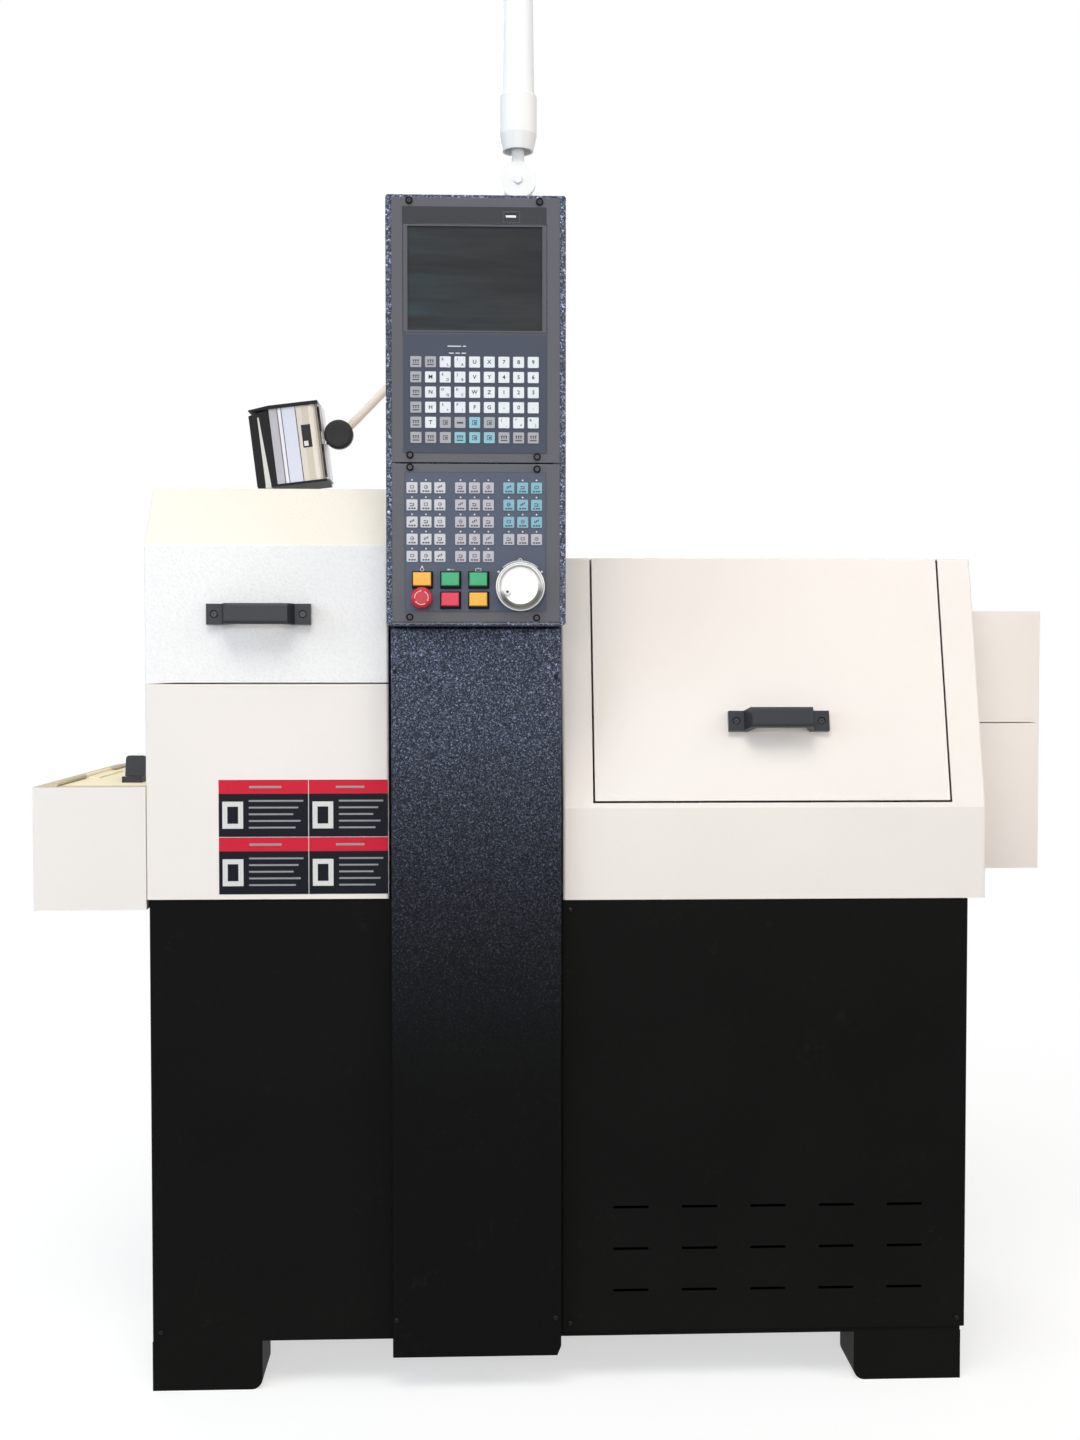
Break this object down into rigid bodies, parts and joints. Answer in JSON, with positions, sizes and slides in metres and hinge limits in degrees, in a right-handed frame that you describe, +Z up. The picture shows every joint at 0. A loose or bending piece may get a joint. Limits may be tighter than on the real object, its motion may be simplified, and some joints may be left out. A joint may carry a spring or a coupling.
{
  "type": "cnc turning lathe",
  "caption": "Small CNC turning lathe on a black sheet-steel cabinet, with cream enclosures, a tall control column, a flip-up door, a jointed work lamp and a tower light.",
  "frame": {"origin": "on the floor, at the middle of the machine's footprint box", "axes": "+X to the right along the spindle, +Y from the operator's front to the back, +Z up"},
  "size_m": [1.482, 0.729, 1.958],
  "materials": {
    "black_paint": "semi-matt orange-peel powder coat",
    "black_hammer_paint": "black hammer-textured paint",
    "panel_grey": "fine matt grey paint",
    "display": "dark display under matt glass",
    "keypad_film": "embossed polyester film",
    "red_plastic": "gloss",
    "orange_plastic": "gloss",
    "green_plastic": "gloss",
    "dial_metal": "satin anodised",
    "black_plastic": "fine-grained moulded",
    "cream_paint": "semi-gloss powder coat",
    "ground_steel": "ground",
    "cast_iron": "machined and painted",
    "aluminium": "anodised",
    "belt_rubber": "ribbed belt",
    "motor_black": "matt paint",
    "lamp_cream": "gloss enamel",
    "white_plastic": "moulded",
    "white_lens": "frosted lens"
  },
  "bodies": {
    "base": {"base_cabinet": "black_paint", "front_access_panel": "black_paint", "plinth_feet": "black_paint", "coolant_tank": "motor_black", "servo_drives": "motor_black", "column_cover": "black_hammer_paint", "panel_housing": "black_hammer_paint", "upper_panel_plate": "panel_grey", "lower_panel_plate": "panel_grey", "display_screen": "display", "keypad_films": "keypad_film", "headstock_housing": "cream_paint", "centre_cover": "cream_paint", "work_area_enclosure": "cream_paint", "left_end_box": "cream_paint", "right_end_cover_lower": "cream_paint", "right_end_cover_upper": "cream_paint", "hinge_pins": "ground_steel", "bed": "cast_iron", "headstock": "cast_iron", "spindle_bearings": "ground_steel", "drive_belt": "belt_rubber", "spindle_motor": "motor_black", "z_rails": "ground_steel", "z_screw_supports": "cast_iron", "z_axis_motor": "motor_black", "lamp_base": "lamp_cream", "tower_light_foot": "white_plastic"},
    "headstock_lid": {"headstock_lid": "cream_paint", "headstock_lid_handle": "black_plastic"},
    "work_door": {"work_door": "cream_paint", "work_door_handle": "black_plastic"},
    "end_box_lid": {"end_box_lid": "cream_paint", "end_box_lid_handle": "black_plastic"},
    "spindle": {"spindle": "ground_steel", "collet_chuck": "ground_steel", "collet": "ground_steel", "spindle_pulley": "aluminium"},
    "motor_rotor": {"motor_pulley": "aluminium"},
    "saddle": {"z_saddle": "cast_iron", "x_rails": "ground_steel", "x_axis_motor": "motor_black"},
    "z_screw": {"z_ballscrew": "ground_steel"},
    "cross_slide": {"cross_slide": "cast_iron", "tool_holders": "ground_steel"},
    "x_screw": {"x_ballscrew": "ground_steel"},
    "emergency_stop": {"emergency_stop": "red_plastic"},
    "handwheel": {"handwheel": "dial_metal"},
    "handwheel_knob": {"handwheel_knob": "black_plastic"},
    "tower_light": {"tower_light_stem": "white_plastic", "tower_light_lens": "white_lens"},
    "lamp_lower_arm": {"lamp_lower_arm": "lamp_cream"},
    "lamp_upper_arm": {"lamp_upper_arm": "lamp_cream"},
    "lamp_head": {"lamp_head": "aluminium"},
    "button_orange_upper": {"button_orange_upper": "orange_plastic"},
    "button_green_left": {"button_green_left": "green_plastic"},
    "button_green_right": {"button_green_right": "green_plastic"},
    "button_red": {"button_red": "red_plastic"},
    "button_orange_lower": {"button_orange_lower": "orange_plastic"}
  },
  "joints": [
    {"name": "headstock_lid_hinge", "type": "hinge", "parent": "base", "child": "headstock_lid", "pos_m": [-0.41425, 0.09455, 1.2886], "axis": [-1, 0, 0], "range_deg": [0, 75]},
    {"name": "work_door_hinge", "type": "hinge", "parent": "base", "child": "work_door", "pos_m": [0.301, 0.09455, 1.1916], "axis": [-1, 0, 0], "range_deg": [0, 80]},
    {"name": "end_box_lid_hinge", "type": "hinge", "parent": "base", "child": "end_box_lid", "pos_m": [-0.711, 0.02455, 0.8624], "axis": [0, -1, 0], "range_deg": [0, 105]},
    {"name": "spindle_spin", "type": "hinge", "parent": "base", "child": "spindle", "pos_m": [-0.021, 0.01455, 0.9], "axis": [1, 0, 0], "continuous": true},
    {"name": "motor_spin", "type": "hinge", "parent": "base", "child": "motor_rotor", "pos_m": [-0.526, 0.01455, 0.772], "axis": [1, 0, 0], "continuous": true},
    {"name": "z_travel", "type": "slide", "parent": "base", "child": "saddle", "axis": [1, 0, 0], "range_m": [-0.1, 0.1]},
    {"name": "z_screw_spin", "type": "hinge", "parent": "base", "child": "z_screw", "pos_m": [0.064, 0.03455, 0.798], "axis": [1, 0, 0], "continuous": true},
    {"name": "x_travel", "type": "slide", "parent": "saddle", "child": "cross_slide", "axis": [0, 1, 0], "range_m": [-0.06, 0.06]},
    {"name": "x_screw_spin", "type": "hinge", "parent": "saddle", "child": "x_screw", "pos_m": [0.294, -0.11045, 0.853], "axis": [0, 1, 0], "continuous": true},
    {"name": "button_orange_upper_press", "type": "slide", "parent": "base", "child": "button_orange_upper", "axis": [0, 1, 0], "range_m": [0, 0.003], "stiffness_N_per_m": 500, "springref_m": -0.002},
    {"name": "button_green_left_press", "type": "slide", "parent": "base", "child": "button_green_left", "axis": [0, 1, 0], "range_m": [0, 0.003], "stiffness_N_per_m": 500, "springref_m": -0.002},
    {"name": "button_green_right_press", "type": "slide", "parent": "base", "child": "button_green_right", "axis": [0, 1, 0], "range_m": [0, 0.003], "stiffness_N_per_m": 500, "springref_m": -0.002},
    {"name": "button_red_press", "type": "slide", "parent": "base", "child": "button_red", "axis": [0, 1, 0], "range_m": [0, 0.003], "stiffness_N_per_m": 500, "springref_m": -0.002},
    {"name": "button_orange_lower_press", "type": "slide", "parent": "base", "child": "button_orange_lower", "axis": [0, 1, 0], "range_m": [0, 0.003], "stiffness_N_per_m": 500, "springref_m": -0.002},
    {"name": "emergency_stop_press", "type": "slide", "parent": "base", "child": "emergency_stop", "axis": [0, 1, 0], "range_m": [0, 0.004], "stiffness_N_per_m": 800, "springref_m": -0.002},
    {"name": "handwheel_spin", "type": "hinge", "parent": "base", "child": "handwheel", "pos_m": [-0.062, -0.33545, 1.1345], "axis": [0, 1, 0], "continuous": true},
    {"name": "handwheel_knob_spin", "type": "hinge", "parent": "handwheel", "child": "handwheel_knob", "pos_m": [-0.07959, -0.35045, 1.12671], "axis": [0, 1, 0], "continuous": true},
    {"name": "tower_light_fold", "type": "hinge", "parent": "base", "child": "tower_light", "pos_m": [-0.063, -0.25545, 1.698], "axis": [0, 1, 0], "range_deg": [-90, 0]},
    {"name": "lamp_base_swivel", "type": "hinge", "parent": "base", "child": "lamp_lower_arm", "pos_m": [-0.061, 0.19455, 1.206], "axis": [0, 0, 1], "range_deg": [-110, 0]},
    {"name": "lamp_elbow_tilt", "type": "hinge", "parent": "lamp_lower_arm", "child": "lamp_upper_arm", "pos_m": [-0.141, 0.1854, 1.62], "axis": [0, 1, 0], "range_deg": [-1.5, 45]},
    {"name": "lamp_head_tilt", "type": "hinge", "parent": "lamp_upper_arm", "child": "lamp_head", "pos_m": [-0.347, 0.1854, 1.408], "axis": [0, 1, 0], "range_deg": [-3, 50]}
  ],
  "couplings": [
    {"joint": "motor_spin", "follows": "spindle_spin", "ratio": 1.5},
    {"joint": "z_screw_spin", "follows": "z_travel", "rad_per_m": -628.32},
    {"joint": "x_screw_spin", "follows": "x_travel", "rad_per_m": -628.32}
  ]
}
